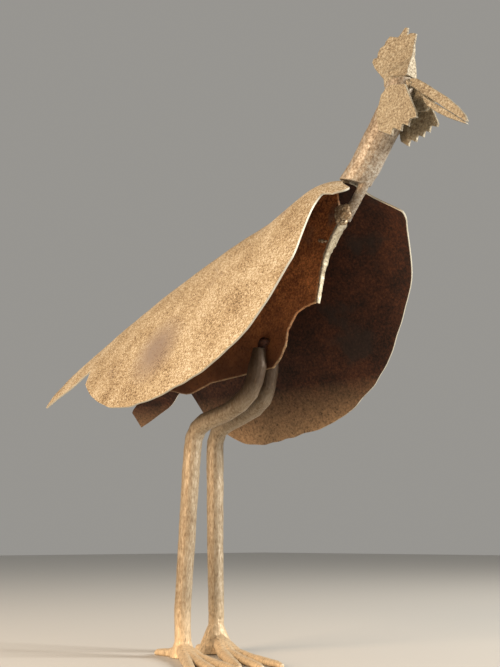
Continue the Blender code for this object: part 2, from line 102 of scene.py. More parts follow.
def add_node(tree: bpy.types.NodeTree, kind: str, inputs: dict, **settings: object) -> bpy.types.Node:
    """Add a node with its settings, values and links.

    Args:
        tree: Node tree that gets the node.
        kind: Blender's name for the kind of node.
        inputs: Value, or output to link, for each named or numbered input.
        settings: Values of the node's own properties.

    Returns:
        The new node.
    """
    item = tree.nodes.new(kind)
    for name, value in settings.items():
        setattr(item, name, value)
    for key, value in inputs.items():
        if isinstance(value, bpy.types.NodeSocket):
            tree.links.new(value, item.inputs[key])
        else:
            item.inputs[key].default_value = value
    return item


@dataclass(frozen=True)
class PaintedHeightShading:
    """Painted light and shade laid over the rust as a tone by height, from nothing at the height start to its
    whole share at the height full, in metres.
    """

    colour: str
    start: float
    full: float
    share: float = 0.8
    grained: bool = True

    def lay(self, tree: bpy.types.NodeTree, place: Socket, grain: Socket, under: Socket) -> Socket:
        """Lay the tone of painted light and shade over the rust.

        Args:
            tree: Node tree of the material.
            place: Object coordinates.
            grain: Fine noise that breaks up a grained tone.
            under: Colour of the rust so far.

        Returns:
            The colour with the tone on it.
        """
        height = add_node(tree, "ShaderNodeSeparateXYZ", {0: place}).outputs[2]
        share = add_node(tree, "ShaderNodeMapRange", {
            0: height, 1: self.start, 2: self.full, 3: 0.0, 4: self.share,
        }).outputs[0]
        if self.grained:
            share = add_node(tree, "ShaderNodeMath", {0: share, 1: grain}, operation="MULTIPLY").outputs[0]
            share = add_node(
                tree, "ShaderNodeMath", {0: share, 1: GRAIN_GAIN}, operation="MULTIPLY", use_clamp=True,
            ).outputs[0]
        return add_node(tree, "ShaderNodeMix", {
            0: share, 6: under, 7: linear(self.colour),
        }, data_type="RGBA").outputs[2]


@dataclass(frozen=True)
class RustedIron:
    """Iron left to rust and then handled: a dry grained skin, dark pits, dirt with painted shade in the hollows
    and rubbed arrises with painted glints. Tones laid by height paint light and shade.

    Colours are sRGB hex and sizes are in millimetres. The rust's real grain is about 0.2 mm and would not show,
    so it is drawn at grain_mm. A streak over 1 draws the grain out along the height.
    """

    name: str
    tones: tuple[str, ...]
    patch: str
    patch_share: float
    speck: str
    # rubbed is bright wear with painted glints, and dirt is dirt with painted shade in the hollows
    rubbed_glint: str
    dirt_and_shade: str
    grain_mm: float = 1.6
    blotch_mm: float = 28.0
    cloud: float = 0.5
    patch_mm: float = 45.0
    relief_mm: float = 0.25
    wear_glint_from: float = 0.53
    metallic: float = 0.15
    roughness: float = 0.72
    streak: float = 1.0
    patch_place: tuple[float, ...] = ()
    patch_reach: float = 0.0
    # Tones laid by height that paint light and shade
    low: PaintedHeightShading | None = None
    high: PaintedHeightShading | None = None

    def rust(self, tree: bpy.types.NodeTree, tone: Socket) -> Socket:
        """Spread the rust's tones over the noise.

        Args:
            tree: Node tree of the material.
            tone: Noise of blotches and grain.

        Returns:
            The colour of the bare rust.
        """
        ramp = add_node(tree, "ShaderNodeValToRGB", {0: tone})
        stops = ramp.color_ramp.elements
        while len(stops) < len(self.tones):
            stops.new(0.5)
        for number, colour in enumerate(self.tones):
            stops[number].position = TONE_FROM + (TONE_TO - TONE_FROM) * number / (len(self.tones) - 1)
            stops[number].color = linear(colour)
        return ramp.outputs[0]

    def mill_scale(self, tree: bpy.types.NodeTree, place: Socket, tone: Socket, under: Socket) -> Socket:
        """Let mill scale show through in large soft patches.

        Args:
            tree: Node tree of the material.
            place: Object coordinates.
            tone: Noise that breaks up the patch that has a place of its own.
            under: Colour of the rust.

        Returns:
            The colour with the patches.
        """
        cover = add_node(tree, "ShaderNodeTexNoise", {
            "Vector": place, "Scale": 1000 / self.patch_mm, "Detail": 3.0, "Roughness": 0.55,
        })
        edge = 0.70 - 0.28 * self.patch_share
        patch = add_node(tree, "ShaderNodeMapRange", {
            0: cover.outputs[0], 1: edge, 2: edge + 0.10, 3: 0.0, 4: 0.75,
        }).outputs[0]
        if self.patch_place:
            middle = Vector(self.patch_place) + ORIGIN
            away = add_node(tree, "ShaderNodeVectorMath", {0: place, 1: middle}, operation="DISTANCE").outputs[1]
            nearby = add_node(tree, "ShaderNodeMapRange", {
                0: away, 1: self.patch_reach, 2: self.patch_reach * 0.3, 3: 0.0, 4: 1.6,
            }).outputs[0]
            broken = add_node(tree, "ShaderNodeMath", {0: nearby, 1: tone}, operation="MULTIPLY").outputs[0]
            patch = add_node(tree, "ShaderNodeMath", {0: patch, 1: broken}, operation="MAXIMUM").outputs[0]
        return add_node(tree, "ShaderNodeMix", {
            0: patch, 6: under, 7: linear(self.patch),
        }, data_type="RGBA").outputs[2]

    def specks(self, tree: bpy.types.NodeTree, drawn: Socket, under: Socket) -> Socket:
        """Add dark specks where the rust has bitten.

        Args:
            tree: Node tree of the material.
            drawn: Object coordinates, drawn out along the streaks.
            under: Colour of the rust.

        Returns:
            The colour with the specks.
        """
        bite = add_node(tree, "ShaderNodeTexNoise", {
            "Vector": drawn, "Scale": 1000 / (self.grain_mm * 1.7), "Detail": 3.0, "Roughness": 0.7,
        })
        share = add_node(tree, "ShaderNodeMapRange", {0: bite.outputs[0], 1: 0.58, 2: 0.70, 3: 0.0, 4: 0.7})
        return add_node(tree, "ShaderNodeMix", {
            0: share.outputs[0], 6: under, 7: linear(self.speck),
        }, data_type="RGBA").outputs[2]

    def handling_and_painted_shading(self, tree: bpy.types.NodeTree, under: Socket) -> Socket:
        """Put dirt and painted shade in the hollows, and rub the arrises to bright metal with painted glints on
        the sharpest bumps.

        Args:
            tree: Node tree of the material.
            under: Colour of the rust.

        Returns:
            The colour of the handled iron, with painted shade in its hollows and painted glints on its arrises.
        """
        point = add_node(tree, "ShaderNodeNewGeometry", {}).outputs["Pointiness"]
        # Rubbed wear and painted glints on the sharpest bumps
        wear_and_glint = add_node(tree, "ShaderNodeMapRange", {
            0: point, 1: self.wear_glint_from, 2: self.wear_glint_from + 0.07, 3: 0.0, 4: 0.85,
        })
        # Dirt and painted shade in the hollows
        hollow_shade = add_node(tree, "ShaderNodeMapRange", {0: point, 1: 0.40, 2: 0.48, 3: 0.8, 4: 0.0})
        hollows_darkened = add_node(tree, "ShaderNodeMix", {
            0: hollow_shade.outputs[0], 6: under, 7: linear(self.dirt_and_shade),
        }, data_type="RGBA")
        return add_node(tree, "ShaderNodeMix", {
            0: wear_and_glint.outputs[0], 6: hollows_darkened.outputs[2], 7: linear(self.rubbed_glint),
        }, data_type="RGBA").outputs[2]

    def build(self) -> bpy.types.Material:
        """Make the material.

        Returns:
            The material, made anew at each call.
        """
        material = bpy.data.materials.new(self.name)
        material.use_nodes = True
        tree = material.node_tree
        shader = tree.nodes["Principled BSDF"]
        place = add_node(tree, "ShaderNodeTexCoord", {}).outputs["Object"]
        drawn = add_node(tree, "ShaderNodeVectorMath", {
            0: place, 1: Vector((1, 1, 1 / self.streak)),
        }, operation="MULTIPLY").outputs[0]

        # Broad blotches and fine grain share one scale of rust tones
        blotch = add_node(tree, "ShaderNodeTexNoise", {
            "Vector": drawn, "Scale": 1000 / self.blotch_mm, "Detail": 5.0, "Roughness": 0.62, "Distortion": 0.3,
        }).outputs[0]
        grain = add_node(tree, "ShaderNodeTexNoise", {
            "Vector": drawn, "Scale": 1000 / self.grain_mm, "Detail": 2.0, "Roughness": 0.75,
        }).outputs[0]
        tone = add_node(tree, "ShaderNodeMix", {0: 1 - self.cloud, 2: blotch, 3: grain}).outputs[0]
        colour = self.mill_scale(tree, place, tone, self.rust(tree, tone))
        # Painted light and shade, laid by height
        for change in (self.low, self.high):
            if change:
                colour = change.lay(tree, place, grain, colour)
        colour = self.handling_and_painted_shading(tree, self.specks(tree, drawn, colour))
        sheen = add_node(tree, "ShaderNodeMapRange", {
            0: tone, 1: 0.3, 2: 0.7, 3: self.roughness + 0.12, 4: self.roughness - 0.12,
        }).outputs[0]

        # Relief of grain over shallow pits
        pits = add_node(tree, "ShaderNodeTexVoronoi", {"Vector": place, "Scale": 1000 / (self.grain_mm * 2.2)})
        relief = add_node(tree, "ShaderNodeMath", {0: grain, 1: pits.outputs[0]}, operation="ADD")
        bump = add_node(tree, "ShaderNodeBump", {
            "Height": relief.outputs[0], "Strength": 0.55, "Distance": self.relief_mm / 1000,
        }).outputs[0]
        for name, value in {"Base Color": colour, "Roughness": sheen, "Normal": bump}.items():
            tree.links.new(value, shader.inputs[name])
        shader.inputs["Metallic"].default_value = self.metallic
        return material


# Outer face of hot-rolled sheet, rusted outdoors: dry, pale ochre, evenly grained
SHEET_OUTSIDE = RustedIron(
    "rusted_hot_rolled_sheet", ("4f3b24", "a08a6a", "c3b395", "e2d9c6"), "8a7c74", 0.15, "785b3f", "d6d1c3",
    "5f452d", grain_mm=1.7, blotch_mm=40.0, cloud=0.3, patch_mm=70.0, relief_mm=0.2, wear_glint_from=0.95,
    patch_place=(0.027, -0.092, 0.283), patch_reach=0.042,
)
# Inner face of the same sheet: brown rust deepened with painted shade, less rubbed, with painted light as a paler
# band near the wings' lower edge
SHEET_INSIDE_PAINTED_SHADE_AND_LIGHT = RustedIron(
    "brown_rust_painted_shade_and_light", ("1c0b04", "321708", "46220e", "5c3217"), "2c221d", 0.3, "1c1009", "c0a078",
    "22130a", grain_mm=2.6, cloud=0.45, wear_glint_from=0.95, low=PaintedHeightShading("bb9a74", 0.262, 0.215),
)
# Edge of the sheet where it was cut: paler than the faces
SHEET_EDGE = RustedIron(
    "cut_sheet_edge", ("67543a", "7a674d", "8b7d67"), "948b83", 0.2, "614931", "c7c3b4", "543c25",
    metallic=0.25, roughness=0.6,
)
# Plate under the back: dark brown scale with orange rust, with painted shade over its lower part
PLATE_WITH_PAINTED_SHADE = RustedIron(
    "scaled_brown_plate_painted_shade", ("6a3e24", "945a34", "bf7946", "e69556"), "776252", 0.3, "321e11", "ffe5b0", "25150c",
    grain_mm=2.2, cloud=0.4, low=PaintedHeightShading("24130a", 0.335, 0.270),
)
# Hot-forged round bar: tan rust over grey, bright where it is handled, with painted glints on its sharpest bumps
BAR_FINISH = RustedIron(
    "forged_round_bar", ("6c5a49", "8a7c6a", "a49787", "b5b0a4"), "918b88", 0.45, "5b4530", "d5d3c5", "3f2c1b",
    grain_mm=2.2, cloud=0.35, metallic=0.3, roughness=0.6,
)
# Leg bars: the same bar, brushed along its length, with painted light making the feet paler and painted shade
# darkening them between the wings
LEG_WITH_PAINTED_LIGHT_AND_SHADE = RustedIron(
    "brushed_leg_bar_painted_light_and_shade", ("88745b", "98876f", "a7977f", "b5a691"), "9c907f", 0.1, "6b543c", "d5d3c5", "3f2c1b",
    grain_mm=1.8, blotch_mm=20.0, cloud=0.3, metallic=0.3, roughness=0.6, streak=3.5,
    low=PaintedHeightShading("ecd2ac", 0.055, 0.012), high=PaintedHeightShading("382413", 0.212, 0.250, share=0.9, grained=False),
)
# Rod drawn down to a point and ground: pale metal with rust left in its pits, its tones raised by painted light
GROUND_ROD_WITH_PAINTED_LIGHT = RustedIron(
    "ground_tapering_rod_painted_light", ("a08f75", "c8bba2", "ddd4ba", "ebe5d0"), "c8beb0", 0.3, "54381f", "fffaf0", "3a2412",
    grain_mm=1.8, cloud=0.4, metallic=0.35, roughness=0.5,
)
# Head pieces, filed after cutting: fine even speckle
HEAD_FINISH = RustedIron(
    "filed_rusted_head", ("706251", "8c7f69", "a0957f", "b2ab99"), "78746f", 0.35, "5a4a39", "c0c6c4", "443320",
    grain_mm=1.9, cloud=0.25, metallic=0.25, roughness=0.62,
)
# Weld metal: darker, glassy between its ripples
WELD_FINISH = RustedIron(
    "rusted_weld_bead", ("5c452f", "896f51", "b29b7b", "d6c3a6"), "8c7a66", 0.3, "38240f", "fff4dc", "2a190c",
    grain_mm=1.6, cloud=0.4, metallic=0.3, roughness=0.55,
)


# Workshop operations


def deselect_all() -> None:
    """Leave edit mode and select nothing."""
    if bpy.context.object and bpy.context.object.mode != "OBJECT":
        bpy.ops.object.mode_set(mode="OBJECT")
    bpy.ops.object.select_all(action="DESELECT")


def pick(obj: bpy.types.Object) -> None:
    """Make one object the only selected and the active one.

    Args:
        obj: The object.
    """
    deselect_all()
    obj.select_set(True)
    bpy.context.view_layer.objects.active = obj


def join(objects: list[bpy.types.Object]) -> bpy.types.Object:
    """Join objects into the first of them.

    Args:
        objects: One object or more.

    Returns:
        The joined object, selected and active.
    """
    deselect_all()
    for obj in objects:
        obj.select_set(True)
    bpy.context.view_layer.objects.active = objects[0]
    if len(objects) > 1:
        bpy.ops.object.join()
    return bpy.context.object


def work_with(obj: bpy.types.Object, kind: str, **settings: object) -> None:
    """Add a modifier and apply it.

    Args:
        obj: Object that is worked on.
        kind: Blender's name for the kind of modifier.
        settings: Values of the modifier's properties.
    """
    pick(obj)
    modifier = obj.modifiers.new(kind.lower(), kind)
    for name, value in settings.items():
        setattr(modifier, name, value)
    bpy.ops.object.modifier_apply(modifier=modifier.name)


def dent(obj: bpy.types.Object, size: float, depth: float) -> None:
    """Press soft dents and swellings into a surface.

    Args:
        obj: Object with a fine mesh.
        size: Width of one dent.
        depth: From the deepest dent to the highest swelling.
    """
    texture = bpy.data.textures.new(f"{obj.name}_dents", "CLOUDS")
    texture.noise_scale = size
    texture.noise_depth = 1
    work_with(obj, "DISPLACE", texture=texture, texture_coords="LOCAL", strength=depth, mid_level=0.5)


def press(obj: bpy.types.Object, pits: list[Pit]) -> None:
    """Press small pits into a surface.

    Args:
        obj: Object with a fine mesh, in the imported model's frame.
        pits: Middle, radius and depth of each pit.
    """
    tree = KDTree(len(obj.data.vertices))
    for vert in obj.data.vertices:
        tree.insert(vert.co, vert.index)
    tree.balance()
    inward = [-vert.normal.copy() for vert in obj.data.vertices]
    for middle, radius, depth in pits:
        for place, index, distance in tree.find_range(middle, radius):
            share = 1 - (distance / radius) ** 2
            obj.data.vertices[index].co += inward[index] * depth * share
    obj.data.update()


def scattered(low: Point, high: Point, count: int, radius: float, seed: int) -> list[Pit]:
    """Scatter pits over a box.

    Args:
        low: Lower corner, in the hen's own frame.
        high: Upper corner.
        count: Number of pits.
        radius: Radius of the largest pit.
        seed: Start of the chance.

    Returns:
        Middle, radius and depth of each pit.
    """
    chance = Random(seed)
    pits = []
    for _ in range(count):
        middle = Vector([chance.uniform(a, b) for a, b in zip(low, high)]) + ORIGIN
        width = radius * chance.uniform(0.5, 1.0)
        pits.append((middle, width, width * chance.uniform(0.25, 0.5)))
    return pits


def fit(obj: bpy.types.Object, finish: RustedIron, slot: Slot, *nodes: str) -> bpy.types.Object:
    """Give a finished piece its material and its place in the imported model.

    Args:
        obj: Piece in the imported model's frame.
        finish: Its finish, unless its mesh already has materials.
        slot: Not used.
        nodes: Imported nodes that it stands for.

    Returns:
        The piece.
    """
    if not obj.data.materials:
        obj.data.materials.append(finish.build())
    pick(obj)
    bpy.ops.object.transform_apply(location=True, rotation=True, scale=True)
    bpy.ops.object.shade_smooth()
    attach(obj, "root")
    if nodes:
        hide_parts(*nodes)
    return obj


# Saddled sheet


@dataclass
class Wing:
    """One half of the sheet: an oval wing, and the tail's prong on that side.

    Lengths along the sheet are in u, and corner and cut are the front corner and the slanting cut beside the neck.
    """

    half_width: float
    front_reach: float
    front_power: float
    rear_reach: float
    rear_power: float
    corner_u: float
    corner_y: float
    cut_u: float
    cut_y: float
    cut: float
    end_u: float
    prong_length: float


def ease(value: float) -> float:
    """Ease from 0 to 1 with level ends."""
    value = min(max(value, 0.0), 1.0)
    return value * value * (3 - 2 * value)


def softer_min(first: float, second: float, round_off: float) -> float:
    """Take the smaller of two lengths, rounded off where they are nearly the same.

    Args:
        first: One length.
        second: The other length.
        round_off: Difference under which the rounding starts.

    Returns:
        The smaller length, or a little less.
    """
    near = max(1 - abs(first - second) / round_off, 0.0)
    return min(first, second) - near * near * round_off / 4


@dataclass
class SaddleSheet:
    """Back, wings and tail: one sheet bent over the crest. u runs forward along the chord."""

    thickness: float = 0.0018
    chord_x: float = 0.1159
    chord_z: float = 0.4042
    slope: float = radians(20.5)
    roll: float = radians(3.0)
    crest_rise: float = 0.0138
    crest_rise_length: float = 0.400
    lip_start: float = 0.045
    lip_drop: float = 0.0152
    front_crest: float = 0.083
    front_curl: float = 5.0
    bend_front: float = 0.0295
    bend_tail: float = 0.0425
    bend_power: float = 2.5
    widest_u: float = -0.110
    root_half_width: float = 0.064
    tail_half_width: float = 0.068
    flare_start: float = -0.256
    flare_length: float = 0.034
    tail_end_u: float = -0.320
    prong_inner: float = 0.052
    prong_outer: float = 0.056
    prong_slant: float = 0.002
    columns: int = 128
    wing_rows: int = 150
    tail_rows: int = 50
    core_share: float = 0.75
    core_blend: float = 0.06
    corner_round: float = 0.004
    shoulder_slope: float = 0.7
    shoulder_rise: float = 0.0075
    cut_round: float = 0.012
    edge_round: float = 0.00035
    right: Wing = field(default_factory=lambda: Wing(
        0.0997, 0.235, 2.5, 0.182, 3.0, 0.095, 0.032, 0.0745, 0.0397, 2.2, -0.249, 0.012,
    ))
    left: Wing = field(default_factory=lambda: Wing(
        0.1013, 0.250, 2.0, 0.161, 5.5, 0.104, 0.033, 0.104, 0.033, 1.2, -0.244, 0.020,
    ))

    def crest_drop(self, u: float) -> float:
        """Find how far the crest lies under the chord.

        Args:
            u: Place along the chord.

        Returns:
            The drop, less than nothing where the crest bows up.
        """
        share = min(max(-u / self.crest_rise_length, 0.0), 1.0)
        rise = 4 * self.crest_rise * share * (1 - share)
        lip = self.lip_drop * (max(u - self.lip_start, 0.0) / (self.front_crest - self.lip_start)) ** 2
        return lip - rise

    def bend_radius(self, u: float) -> float:
        """Radius of the bend over the crest at u."""
        share = max(self.lip_start - u, 0.0) / (self.lip_start - self.tail_end_u)
        return self.bend_front + (self.bend_tail - self.bend_front) * share ** self.bend_power

    def dents(self, u: float, y: float) -> float:
        """Find how far the hammered sheet lies inside its smooth shape.

        Args:
            u: Place along the chord.
            y: Distance from the middle.

        Returns:
            The depth of the dent there.
        """
        broad = noise.noise(Vector((u * 22, y * 22, 1.7)))
        small = noise.noise(Vector((u * 75, y * 75, 4.1)))
        return 0.0010 * broad + 0.00025 * small

    def point(self, u: float, y: float) -> Vector:
        """Find a point of the sheet's upper face.

        Args:
            u: Place along the chord.
            y: Distance from the middle, to the hen's left.

        Returns:
            The point, in the hen's own frame.
        """
        along = Vector((cos(self.slope), 0, sin(self.slope)))
        down = Vector((sin(self.slope), 0, -cos(self.slope)))
        across = Vector((0, 1, 0)) * cos(self.roll) + down * sin(self.roll)
        inward = down * cos(self.roll) - Vector((0, 1, 0)) * sin(self.roll)
        chord = Vector((self.chord_x, 0, self.chord_z)) + along * u
        sag = y * y / (2 * self.bend_radius(u)) + self.dents(u, y)
        return chord + down * self.crest_drop(u) + inward * sag + across * y

    def half_width(self, u: float, wing: Wing) -> float:
        """Find the distance from the middle to the cut edge.

        Args:
            u: Place along the chord.
            wing: The half that is asked for.

        Returns:
            The distance, a little uneven as a hand cut is.
        """
        wander = 0.0005 * noise.noise(Vector((u * 60, wing.half_width * 900, 0)))
        if u < wing.end_u:
            out = ease((self.flare_start - u) / self.flare_length)
            return self.root_half_width + (self.tail_half_width - self.root_half_width) * out + wander
        if u > self.widest_u:
            share = ((u - self.widest_u) / wing.front_reach) ** wing.front_power
        else:
            share = ((self.widest_u - u) / wing.rear_reach) ** wing.rear_power
        oval = wing.half_width * sqrt(max(1 - share, 0.0))
        behind = wing.corner_u - u
        shoulder = wing.corner_y + min(behind * self.shoulder_slope, self.shoulder_rise)
        cut = wing.cut_y + (wing.cut_u - u) * wing.cut
        nip = max(1 - behind / self.corner_round, 0.0)
        rounded = self.corner_round * (1 - sqrt(1 - nip * nip))
        return softer_min(oval, max(shoulder, cut), self.cut_round) - rounded + wander

    def spread(self, side: float, u: float, wing: Wing) -> float:
        """Spread a column over the half width: near the notch only the outer columns take its step.

        Args:
            side: Column, from 0 at the crest to 1 at the edge.
            u: Place along the chord.
            wing: The half that the column is in.

        Returns:
            Distance from the middle.
        """
        edge = self.half_width(u, wing)
        even = self.core_share * edge
        near = 1 - ease((u - wing.end_u) / self.core_blend)
        core = even + (self.prong_outer - even) * near
        if side <= self.core_share:
            return core * side / self.core_share
        return core + (edge - core) * (side - self.core_share) / (1 - self.core_share)

    def tail_end(self, y: float, wing: Wing) -> float:
        """Find where the tail ends.

        Args:
            y: Distance from the middle.
            wing: The half that is asked for.

        Returns:
            u of the end, further back on the prong.
        """
        out = ease((y - self.prong_inner) / (self.prong_outer - self.prong_inner))
        slant = self.prong_slant * max(y - self.prong_outer, 0.0) / (self.tail_half_width - self.prong_outer)
        ragged = 0.0006 * noise.noise(Vector((y * 90, wing.prong_length * 500, 3)))
        return self.tail_end_u - wing.prong_length * out - slant + ragged

    def row_u(self, row: int, front_u: float, end_u: float) -> float:
        """u of one row of the wings, closer together at both ends."""
        share = (1 - cos(pi * row / self.wing_rows)) / 2
        return front_u + (end_u - front_u) * share

    def grid_point(self, column: int, row: int) -> Vector:
        """Bend one point of the flat grid over the crest.

        Args:
            column: Column of the grid, across the hen.
            row: Row of the grid, from the neck to the tail.

        Returns:
            The point of the saddle.
        """
        side = column / self.columns * 2 - 1
        wing = self.left if side > 0 else self.right
        sign = 1 if side > 0 else -1
        side = abs(side)
        crest_end = (self.right.end_u + self.left.end_u) / 2
        if row <= self.wing_rows:
            edge_u = self.row_u(row, wing.corner_u, wing.end_u)
            crest_u = self.row_u(row, self.front_crest, crest_end)
            y = self.spread(side, edge_u, wing)
            return self.point(crest_u + (edge_u - crest_u) * side ** self.front_curl, sign * y)
        share = (row - self.wing_rows - 1) / (self.tail_rows - 1)
        notch_u = wing.end_u - 0.001
        edge_u = notch_u + (self.tail_end_u - wing.prong_length - notch_u) * share
        root_u = crest_end - 0.001
        root_u += (notch_u - root_u) * side ** self.front_curl
        y = self.spread(side, edge_u, wing)
        return self.point(root_u + (self.tail_end(y, wing) - root_u) * share, sign * y)

    def build(self) -> list[bpy.types.Object]:
        """Model and dress the sheet.

        Returns:
            The finished sheet, in a list.
        """
        deselect_all()
        rows = self.wing_rows + self.tail_rows
        bpy.ops.mesh.primitive_grid_add(x_subdivisions=rows, y_subdivisions=self.columns, size=2.0)
        sheet = bpy.context.object
        sheet.name = "saddled_sheet"
        for vert in sheet.data.vertices:
            row = round((1 - vert.co.x) / 2 * rows)
            column = round((1 + vert.co.y) / 2 * self.columns)
            vert.co = self.grid_point(column, row) + ORIGIN
        sheet.data.update()
        for finish in (SHEET_OUTSIDE, SHEET_INSIDE_PAINTED_SHADE_AND_LIGHT, SHEET_EDGE):
            sheet.data.materials.append(finish.build())
        pick(sheet)
        bpy.ops.object.mode_set(mode="EDIT")
        bpy.ops.mesh.select_all(action="SELECT")
        bpy.ops.mesh.normals_make_consistent(inside=False)
        bpy.ops.object.mode_set(mode="OBJECT")
        if sum(face.normal.z for face in sheet.data.polygons) <= 0:
            bpy.ops.object.mode_set(mode="EDIT")
            bpy.ops.mesh.select_all(action="SELECT")
            bpy.ops.mesh.flip_normals()
            bpy.ops.object.mode_set(mode="OBJECT")
        work_with(
            sheet, "SOLIDIFY", thickness=self.thickness, offset=-1, material_offset=1, material_offset_rim=2,
            use_even_offset=True,
        )
        work_with(
            sheet, "BEVEL", width=self.edge_round, segments=2, limit_method="ANGLE", angle_limit=radians(60),
            material=2,
        )
        return [fit(sheet, SHEET_OUTSIDE, Slot.SHEET, "wing_sheet")]


# Forged bars and plates


@dataclass
class Web:
    """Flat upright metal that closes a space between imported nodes."""

    outline: tuple[tuple[float, float], ...]
    side: float
    thickness: float

    def build(self) -> bpy.types.Object:
        """Model the web, with no finish of its own.

        Returns:
            The web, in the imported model's frame.
        """
        mesh = bpy.data.meshes.new("web")
        corners = [Vector((x, self.side, z)) + ORIGIN for x, z in self.outline]
        mesh.from_pydata(corners, [], [range(len(corners))])
        web = bpy.data.objects.new("web", mesh)
        bpy.context.scene.collection.objects.link(web)
        work_with(web, "SOLIDIFY", thickness=self.thickness, offset=0)
        return web


@dataclass
class Forging:
    """Packed bars and plates welded into one, with rounded arrises and a hammered skin.

    grid is the width of one cell of the fine mesh, and rounding counts the passes that soften it.
    """

    nodes: tuple[str, ...]
    name: str
    finish: RustedIron
    slot: Slot
    grid: float
    rounding: int = 3
    dent_size: float = 0.012
    dent_depth: float = 0.0006
    scale_size: float = 0.0025
    scale_depth: float = 0.0003
    pits: list[Pit] = field(default_factory=list)
    web: Web | None = None

    def copy_nodes(self) -> bpy.types.Object:
        """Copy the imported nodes' meshes into one and weld their loose triangles together.

        Returns:
            The copy, named for its first part: the web, where there is one.
        """
        copies = [self.web.build()] if self.web else []
        for node in self.nodes:
            copy = bpy.data.objects.new(self.name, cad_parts[node].data.copy())
            bpy.context.scene.collection.objects.link(copy)
            copy.data.materials.clear()
            copies.append(copy)
        join(copies)
        bpy.ops.object.mode_set(mode="EDIT")
        bpy.ops.mesh.select_all(action="SELECT")
        bpy.ops.mesh.remove_doubles(threshold=0.00001)
        bpy.ops.object.mode_set(mode="OBJECT")
        return bpy.context.object

    def beat(self, obj: bpy.types.Object) -> None:
        """Leave the section as it was rolled."""

    def build(self) -> bpy.types.Object:
        """Model and dress the piece.

        Returns:
            The finished piece.
        """
        obj = self.copy_nodes()
        work_with(obj, "REMESH", mode="VOXEL", voxel_size=self.grid)
        self.beat(obj)
        work_with(obj, "SMOOTH", factor=0.5, iterations=self.rounding)
        dent(obj, self.dent_size, self.dent_depth)
        dent(obj, self.scale_size, self.scale_depth)
        press(obj, self.pits)
        return fit(obj, self.finish, self.slot, *self.nodes)


@dataclass
class FlattenedBar(Forging):
    """Upright bar whose front is beaten nearly flat."""

    flatness: float = 0.35
    slice_height: float = 0.001

    def beat(self, obj: bpy.types.Object) -> None:
        """Bring the front half of each slice closer to its middle.

        Args:
            obj: Bar with a fine mesh.
        """
        slices = {}
        for vert in obj.data.vertices:
            slices.setdefault(round(vert.co.z / self.slice_height), []).append(vert.co.x)
        for vert in obj.data.vertices:
            row = slices[round(vert.co.z / self.slice_height)]
            middle = (min(row) + max(row)) / 2
            if vert.co.x > middle:
                vert.co.x = middle + (vert.co.x - middle) * self.flatness
        obj.data.update()


@dataclass
class WeldRun:
    """Lumps of weld metal laid one against the next."""

    name: str
    path: tuple[Point, ...]
    radius: float
    lumps: int
    seed: int
    slot: Slot = Slot.BAR
    grid: float = 0.0006
    finish: RustedIron = WELD_FINISH
    rounding: int = 2
    stray: float = 0.25
    ripple_size: float = 0.0022
    ripple_depth: float = 0.0012
    pits: list[Pit] = field(default_factory=list)

    def place(self, share: float) -> Vector:
        """Find the point at a share of the path's length.

        Args:
            share: From 0 at the start to 1 at the end.

        Returns:
            The point, in the hen's own frame.
        """
        points = [Vector(point) for point in self.path]
        steps = [(b - a).length for a, b in zip(points, points[1:])]
        left = share * sum(steps)
        for start, end, step in zip(points, points[1:], steps):
            if left <= step:
                return start.lerp(end, left / step)
            left -= step
        return points[-1]

    def build(self) -> bpy.types.Object:
        """Model and dress the run.

        Returns:
            The finished piece.
        """
        chance = Random(self.seed)
        lumps = []
        for number in range(self.lumps):
            middle = self.place(number / max(self.lumps - 1, 1)) + ORIGIN
            stray = Vector([chance.uniform(-self.stray, self.stray) * self.radius for _ in range(3)])
            deselect_all()
            bpy.ops.mesh.primitive_ico_sphere_add(
                subdivisions=3, radius=self.radius * chance.uniform(0.75, 1.15), location=middle + stray,
                scale=(1, 1, chance.uniform(0.7, 1.0)),
            )
            lumps.append(bpy.context.object)
        run = join(lumps)
        run.name = self.name
        bpy.ops.object.transform_apply(location=True, rotation=True, scale=True)
        work_with(run, "REMESH", mode="VOXEL", voxel_size=self.grid)
        work_with(run, "SMOOTH", factor=0.5, iterations=self.rounding)
        dent(run, self.ripple_size, self.ripple_depth)
        press(run, self.pits)
        return fit(run, self.finish, self.slot)


